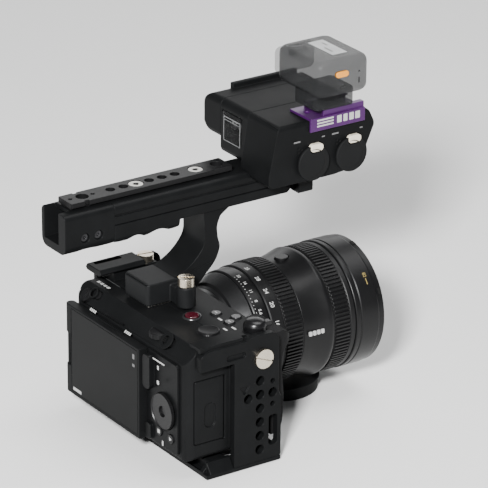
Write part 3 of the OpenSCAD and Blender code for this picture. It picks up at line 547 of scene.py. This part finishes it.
def lens_figures():
    """Focal lengths, stops and their index dots, printed round the barrel."""
    radius = high("zoom_ring").x - LENS_X - 0.9
    y = low("zoom_ring").y + 4
    bm = bmesh.new()
    for text, degrees in (("35", 3), ("28", 21), ("24", 36.5), ("20", 50.5), ("16", 68)):
        lettering(bm, text, 4.1, around_lens(radius, y, degrees))
    piece("zoom_figures", bm, "zoom_ring", "lens_rubber", WHITE)

    radius = high("aperture_ring").x - LENS_X - 0.1
    y = centre("aperture_ring").y
    stops = ("22", "16", "11", "8", "5.6", "4", "2.8")
    bm = bmesh.new()
    for k, text in enumerate(stops):
        lettering(bm, text, 3.1, around_lens(radius, y - 0.2, 10 + 11 * k))
    for k in range(3 * len(stops) - 2):
        place = around_lens(radius, y - 3.2, 10 + 11 * k / 3)
        prism(bm, arc(0, 0, 0.32, 0, 330, 10), place, 0, 0.06)
    piece("aperture_figures", bm, "aperture_ring", "lens_black", WHITE)

    radius = high("front_barrel").x - LENS_X
    bm = bmesh.new()
    lettering(bm, "82", 3.4, around_lens(radius, high("front_barrel").y - 10, 47))
    prism(bm, pill(4.5, 0.7), around_lens(radius, high("front_barrel").y - 10, 53), 0, 0.05)
    piece("filter_figures", bm, "camera", "lens_black", YELLOW)

    rim = high("front_barrel")
    radius = rim.x - LENS_X - 0.55
    # Dark plates at the hood's two bayonet notches: painted shade for the cuts.
    marks = [(pill(4.4, 2.6, 0.3), around_lens(radius, rim.y - 2.4, turn)) for turn in (11, 64)]
    print_marks("hood_notches", marks, "camera", "lens_black", RECESS_SHADE, 0.45)

    radius = high("lens_middle_barrel").x - LENS_X - 2.2
    y = low("lens_middle_barrel").y + 3.6
    marks = [(pill(2.9, 2.2, 0.4), around_lens(radius, y + 3.2 * k, 86)) for k in range(4)]
    print_marks("barrel_badge", marks, "camera", "lens_black", WHITE, 1.0)


def lens_front():
    """The stepped black cell between the rim and the front glass."""
    y = high("front_barrel").y
    bm = bmesh.new()
    steps = [(40.6, y - 7.5)]
    for k in range(5):
        radius = 40.2 - 2.2 * k
        steps += [(radius, y - 7.4 - 0.9 * k), (radius - 0.5, y - 8.1 - 0.9 * k)]
    steps += [(28, y - 12.2), (28, y - 14), (41, y - 14)]
    lathe(bm, steps, lens_axis)
    piece("front_cell", bm, "camera", "lens_black", BARREL, crease=25)


# Top deck and rear controls

def deck_details():
    """Collars round the top buttons, a flush dial, a rubber patch, and plain print."""
    record = centre("record_button")
    bm = bmesh.new()
    lathe(bm, [(5.0, -0.05), (5.0, 0.7), (5.3, 1.0), (6.0, 0.9), (6.5, 0.4), (6.6, -0.05)],
          deck(record.x, record.y))
    piece("record_collar", bm, "camera", "bright_steel", BUTTON)

    bm = bmesh.new()
    dial = deck(58, -14.5)
    lathe(bm, [(0, 0), (7.4, 0), (7.4, 0.5, 1), (7.2, 1.5, 1), (6.4, 1.8), (5.6, 1.5), (0, 1.6)],
          dial, ribs=(44, 0.4, 0.5), closed=False)
    piece("deck_dial", bm, "camera", "button_grey", KEY)

    for name in ("top_button_left", "top_button_right", "top_button_front"):
        spot = centre(name)
        bm = bmesh.new()
        lathe(bm, [(3.5, -0.05), (3.5, 0.25), (3.75, 0.4), (4.2, 0.2), (4.3, -0.05)],
              deck(spot.x, spot.y))
        piece(name + "_collar", bm, "camera", "body_black", BODY)

    marks = [
        (pill(4.4, 1.5, 0.3), deck(45.5, 2.6)), (pill(4.6, 1.5, 0.3), deck(62, 2.2)),
        (pill(4.4, 1.4, 0.3), deck(60.5, -3.4)), (pill(2.6, 0.6), deck(36.7, 5.4, DECK_Z + 1)),
        (pill(2.6, 0.6), deck(53.2, 4.8, DECK_Z + 1)),
    ]
    print_marks("deck_marks", marks, "camera", "button_grey", WHITE)

    badge = [(pill(2.8, 2.2, 0.3), deck(-48 + 3.9 * k, -30.6)) for k in range(4)]
    print_marks("deck_badge", badge, "camera", "button_grey", WHITE)

    bm = bmesh.new()
    prism(bm, pill(28, 8, 1.5), deck(-46, -20), -SINK, 0.35, lip=0.2)
    piece("deck_grip_patch", bm, "camera", "grip_rubber", PATCH)


def slope_details():
    """What sits on the sloped rear edge of the body."""
    marks = [(pill(1.3, 1.8, 0.2), slope(x + 1.9 * k, 3.2)) for x in (-29.8, 12.3) for k in range(4)]
    print_marks("slope_marks", marks, "camera", "button_grey", WHITE)

    knob = centre("mode_knob")
    rise = (knob - SLOPE_FOOT).dot(SLOPE_UP)
    bm = bmesh.new()
    prism(bm, pill(0.7, 2.6, 0.2), slope(knob.x, rise), 2.9, 3.08)
    piece("mode_pointer", bm, "mode_knob", "button_grey", WHITE)

    bm = bmesh.new()
    key = centre("custom_button")
    key_rise = (key - SLOPE_FOOT).dot(SLOPE_UP)
    lathe(bm, [(2.9, -0.05), (2.9, 0.4), (3.2, 0.55), (3.7, 0.3), (3.8, -0.05)], slope(key.x, key_rise))
    stick = centre("joystick")
    stick_rise = (stick - SLOPE_FOOT).dot(SLOPE_UP)
    lathe(bm, [(3.1, -0.05), (3.1, 0.4), (4.2, 0.6), (5.6, 0.3), (5.8, -0.05)],
          slope(stick.x, stick_rise))
    piece("slope_collars", bm, "camera", "body_black", BODY)

    bm = bmesh.new()
    prism(bm, pill(21, 1.1), slope(-4, 6.4), -SINK, 0.35, lip=0.2)
    prism(bm, pill(40, 0.8), slope(-8, 0.9), -SINK, 0.3, lip=0.2)
    piece("slope_lips", bm, "camera", "body_black", PANEL)

    bm = bmesh.new()
    for row in range(3):
        for column in range(3):
            place = slope(stick.x - 1.2 + 1.2 * column, stick_rise - 1.2 + 1.2 * row)
            prism(bm, pill(0.7, 0.7, 0.1), place, 1.7, 2.15)
    piece("joystick_studs", bm, "joystick", "grip_rubber", HIDE)


def dial_details():
    """The ribbed rims of the rear dial and the control wheel, and the wheel's centre key."""
    spot = centre("rear_dial")
    bottom, top = low("rear_dial").z, high("rear_dial").z
    radius = high("rear_dial").x - spot.x
    bm = bmesh.new()
    lathe(bm, [(0, bottom), (radius - 0.6, bottom), (radius, bottom + 0.5, 1), (radius, top - 0.5, 1),
               (radius - 0.6, top), (0, top)],
          deck(spot.x, spot.y, 0), ribs=(40, 0.55, 0.5), closed=False)
    piece("dial_rim", bm, "rear_dial", "grip_rubber", KEY, instead_of=["rear_dial"], crease=28)

    spot = centre("control_wheel")
    radius = (high("control_wheel").x - low("control_wheel").x) / 2
    front = REAR_Y - low("control_wheel").y
    bm = bmesh.new()
    lathe(bm, [(0, -4.8), (3.8, -4.8), (3.8, -1.8), (radius - 0.4, -1.8), (radius, -1.2),
               (radius, front - 0.6, 1), (radius - 0.7, front, 1),
               (radius - 2.6, front - 0.1), (radius - 3.4, front - 0.5),
               (6.4, front - 0.7), (6.1, front - 1.1), (5.4, front - 1.1), (5.2, front - 0.5),
               (4.6, front - 0.2), (0, front)],
          rear(spot.x, spot.z), ribs=(60, 0.5, 0.5), closed=False)
    piece("wheel_rim", bm, "control_wheel", "button_grey", KEY, instead_of=["control_wheel"], crease=28)

    marks = []
    for turn, reach in ((205, 38), (-45, 50), (262, 44), (86, 10)):
        outer = arc(0, 0, radius - 0.9, turn - reach / 2, turn + reach / 2, 12)
        inner = arc(0, 0, radius - 2.1, turn + reach / 2, turn - reach / 2, 12)
        marks.append((outer + inner, rear(spot.x, spot.z, REAR_Y - front)))
    print_marks("wheel_arcs", marks, "control_wheel", "button_grey", WHITE)

    play = centre("play_button")
    delete = centre("delete_button")
    face = low("play_button").y
    marks = [
        (pill(2.6, 2.6, 0.4), rear(play.x, play.z, face)),
        ([(-1.1, -1.4), (1.4, 0), (-1.1, 1.4)], rear(delete.x, delete.z, face)),
    ]
    print_marks("play_symbol", marks[:1], "play_button", "button_grey", WHITE)
    print_marks("delete_symbol", marks[1:], "delete_button", "button_grey", WHITE)

    marks = [
        (pill(13.5, 1.0, 0.3), rear(54, 76.6)), (pill(2.0, 2.8, 0.5), rear(53.3, 72)),
        (pill(2.4, 2.8, 0.5), rear(53.2, 61.6)), (pill(1.6, 3.4, 0.3), rear(58.6, 21)),
    ]
    print_marks("rear_marks", marks, "camera", "button_grey", WHITE)


def monitor_details():
    """A plain sticker and two dim marks on the monitor's glass."""
    left, right = low("monitor_glass").x, high("monitor_glass").x
    bottom, top = low("monitor_glass").z, high("monitor_glass").z
    print_marks("monitor_sticker", [(pill(10, 2.2, 0.4), rear(left + 6.6, bottom + 2.2, SCREEN_Y))],
                "monitor", "screen_glass", WHITE)
    marks = [
        (pill(2.4, 3.6, 0.6), rear(right - 4.5, top - 5.4, SCREEN_Y)),
        (pill(2.8, 2.0, 0.5), rear(right - 4.5, top - 11.6, SCREEN_Y)),
    ]
    print_marks("monitor_marks", marks, "monitor", "screen_glass", DIM)


# Audio box

def audio_details():
    """Knobs and bars behind the window, the window's edges in a painted highlight, painted shade on the
    caps and in the latch pits, and the input side's marks.
    """
    for name in ("level_knob_left", "level_knob_right"):
        spot = centre(name)
        radius = high(name).x - spot.x
        back = high(name).y
        depth = back - low(name).y
        bm = bmesh.new()
        lathe(bm, [(0, 0), (radius, 0, 1), (radius, depth - 0.9, 1), (radius - 0.5, depth - 0.2),
                   (radius - 1.1, depth), (0, depth)],
              flat((spot.x, back, spot.z), (1, 0, 0), (0, 0, 1)), ribs=(26, 0.35, 0.5), closed=False)
        piece(name + "_cap", bm, name, "button_grey", KEY, instead_of=[name], crease=28)
        pointer = rear(spot.x, spot.z + 1.4, low(name).y)
        print_marks(name + "_pointer", [(pill(0.8, 2.6), pointer)], name, "button_grey", DIM)

    window = low("audio_cover")
    knob_depth = 7.8
    back = low("level_knob_left").y + knob_depth
    marks = []
    for name in ("level_knob_left", "level_knob_right"):
        spot = centre(name)
        marks.append((pill(5.4, 0.9, 0.3), rear(spot.x, spot.z + 5.8, back)))
    corner = high("audio_cover")
    for k in range(5):
        marks.append((pill(2.6, 0.7, 0.2), rear(corner.x - 2.2, window.z + 3.4 + 2.4 * k, back)))
    print_marks("window_bars", marks, "camera", "button_grey", DIM, 0.3)

    # The clear cover's rims, in light grey as a painted highlight.
    wide = corner.x - window.x
    tall = corner.z - window.z - 3
    middle = (window.x + corner.x) / 2
    bm = bmesh.new()
    for rise, thick in ((0.5, 0.4), (tall - 0.6, 0.6), (tall - 2.6, 0.35)):
        prism(bm, pill(wide - 0.4, thick), rear(middle, window.z + rise, window.y + 1.15), 0, 0.3)
    for x in (window.x + 0.5, corner.x - 0.5):
        prism(bm, pill(0.4, tall), rear(x, window.z + tall / 2, window.y + 1.15), 0, 0.3)
    piece("cover_edges", bm, "audio_cover", "clear_cover", EDGE_HIGHLIGHT)

    # A dark crescent on each cap's face: painted shade along one side of its round face.
    for end in ("rear", "front"):
        cap = "xlr_cap_" + end
        place = side(high(cap).x, centre(cap).y, low(cap).z + 12)
        outline = [(-x, y) for x, y in crescent(9.6, 9.4, 1.0)][::-1]
        bm = bmesh.new()
        prism(bm, outline, place, -SINK, 0.1)
        piece(cap + "_rim_shade", bm, cap, "cap_rubber", RECESS_SHADE)

    marks = []
    for end in ("rear", "front"):
        tab = centre("release_tab_" + end)
        marks.append((pill(5.2, 1.1, 0.3), side(BOX_X, tab.y - 15, tab.z + 6.4)))
        marks.append((pill(2.4, 0.9, 0.3), side(BOX_X, tab.y + 5.6, tab.z + 6.4)))
    print_marks("input_marks", marks, "camera", "box_plastic", DIM)

    # Dark discs on the input side: painted shade for the latch pits.
    marks = []
    for end in ("rear", "front"):
        tab = centre("release_tab_" + end)
        for dy, dz in ((-13.2, 1.2), (-11.0, 0.2), (-13.4, -1.2)):
            marks.append((arc(0, 0, 0.7, 0, 330, 11), side(BOX_X, tab.y + dy, tab.z + dz)))
    print_marks("latch_pits", marks, "camera", "box_plastic", RECESS_SHADE)


# Adapter and receiver

def adapter_print():
    """Plain bars on the adapter's flange."""
    face = high("shoe_adapter").x
    start = low("shoe_adapter").y
    z = high("shoe_adapter").z - 7.6
    marks = []
    for k, width in enumerate((3.6, 3.2, 3.6, 3.8)):
        marks.append((pill(width, 5.0, 0.5), side(face, start + 22.5 + 4.8 * k, z)))
    for k in range(3):
        marks.append((pill(13, 1.1, 0.3), side(face, start + 11.5, z + 2 - 2 * k)))
    print_marks("adapter_bars", marks, "camera", "adapter_purple", WHITE)


def receiver_details():
    """The receiver as one clear solid, its clip, and the print on its faces."""
    start, end = low("receiver_case"), high("receiver_case")
    clip_depth = 4
    case_height = 25
    rail_height = 4.2
    left = start.x + clip_depth
    foot = end.z - case_height
    middle_y = (start.y + end.y) / 2
    neck_x = 22.5
    case = deck((left + end.x) / 2, middle_y, 0)
    bm = bmesh.new()
    cushion(bm, end.x - left, end.y - start.y, 7.5, case, foot, end.z - 0.12, 5)
    cushion(bm, 26, 30, 3, deck(neck_x, 98, 0), start.z + rail_height, foot - SINK, 0.6)
    prism(bm, pill(12, 18, 1), deck(neck_x, 102, 0), start.z, start.z + rail_height)
    piece("receiver_shell", bm, "receiver", "receiver_smoke", SMOKE, instead_of=["receiver_case"])

    bm = bmesh.new()
    prism(bm, pill(30, 18, 4), side(start.x, middle_y - 3, end.z - 13.5), 0, 2, lip=0.5)
    prism(bm, pill(14, 4, 1), side(start.x + 2, middle_y - 1.5, end.z - 9), 0, 2.1)
    piece("receiver_clip", bm, "receiver", "receiver_smoke", VEIL)

    marks = [(pill(3.2, 1.1, 0.3), side(end.x - 0.06, centre("receiver_button").y, foot + 7)),
             (pill(1.2, 4.0, 0.3), side(end.x - 0.06, end.y - 9.5, foot + 9)),
             (pill(1.2, 1.2, 0.3), side(end.x - 0.06, end.y - 9.5, foot + 15))]
    for k in range(3):
        marks.append((pill(7 - k, 1.3, 0.3), deck(left + 8 + k, start.y + 7.5 + 2.6 * k, end.z - 0.16, 90)))
    print_marks("receiver_print", marks, "receiver", "receiver_smoke", DIM, 0.03)

    pane = centre("receiver_display")
    face = high("receiver_display").z
    marks = [
        (pill(6, 1.4, 0.3), deck(pane.x - 6, pane.y + 2, face)),
        (pill(9, 1.4, 0.3), deck(pane.x + 4, pane.y - 2, face)),
    ]
    print_marks("display_bars", marks, "receiver", "display_grey", DIM, 0.03)


# Stage

def camera():
    """The view: azimuth from -Y towards +X, elevation and roll in degrees, lengths in mm."""
    azimuth, elevation, roll = (math.radians(a) for a in (55.85, 22.95, 0.4))
    target = Vector((46.64, 20.0, 138.8))
    distance = 2331.0
    back = Vector((
        math.sin(azimuth) * math.cos(elevation), -math.cos(azimuth) * math.cos(elevation),
        math.sin(elevation)
    ))
    right = Vector((math.cos(azimuth), math.sin(azimuth), 0))
    up = back.cross(right)
    rolled_right = right * math.cos(roll) + up * math.sin(roll)
    rolled_up = up * math.cos(roll) - right * math.sin(roll)
    data = bpy.data.cameras.new("view")
    data.sensor_width = 36
    data.lens = 269.3
    data.clip_start = 0.01
    data.clip_end = 200
    made = bpy.data.objects.new("view", data)
    made.matrix_world = (
        Matrix.Translation((target + back * distance) * MM)
        @ Matrix((rolled_right, rolled_up, back)).transposed().to_4x4()
    )
    scene.collection.objects.link(made)
    scene.camera = made


def softbox(name, position, aim, size, power):
    """A rectangular light in metres and watts, aimed at a point."""
    data = bpy.data.lights.new(name, "AREA")
    data.shape = "RECTANGLE"
    data.size, data.size_y = size
    data.energy = power
    made = bpy.data.objects.new(name, data)
    made.location = position
    made.rotation_euler = (Vector(aim) - Vector(position)).to_track_quat("-Z", "Y").to_euler()
    scene.collection.objects.link(made)


def stage():
    """The floor, the room's faint light and three soft lights, in metres."""
    bm = bmesh.new()
    bmesh.ops.create_grid(bm, x_segments=1, y_segments=1, size=20)
    mesh = bpy.data.meshes.new("floor")
    bm.to_mesh(mesh)
    bm.free()
    mesh.materials.append(BACKDROP)
    floor = bpy.data.objects.new("floor", mesh)
    scene.collection.objects.link(floor)

    world = bpy.data.worlds.new("room")
    world.use_nodes = True
    world.node_tree.nodes["Background"].inputs["Color"].default_value = (0.95, 0.97, 1, 1)
    world.node_tree.nodes["Background"].inputs["Strength"].default_value = 0.2
    scene.world = world

    aim = (0, 0.05, 0.1)
    softbox("key", (1.55, -1.45, 1.36), aim, (0.32, 0.32), 240)
    softbox("top", (0.1, 0.55, 1.9), aim, (1.3, 1.3), 40)
    softbox("behind", (-2.1, 1.7, 1.15), aim, (2.6, 1.3), 24)


dress_cad_nodes()
side_screws_dark()
screw_sockets()
lens_rings()
lens_figures()
lens_front()
deck_details()
slope_details()
dial_details()
monitor_details()
audio_details()
adapter_print()
receiver_details()
camera()
stage()
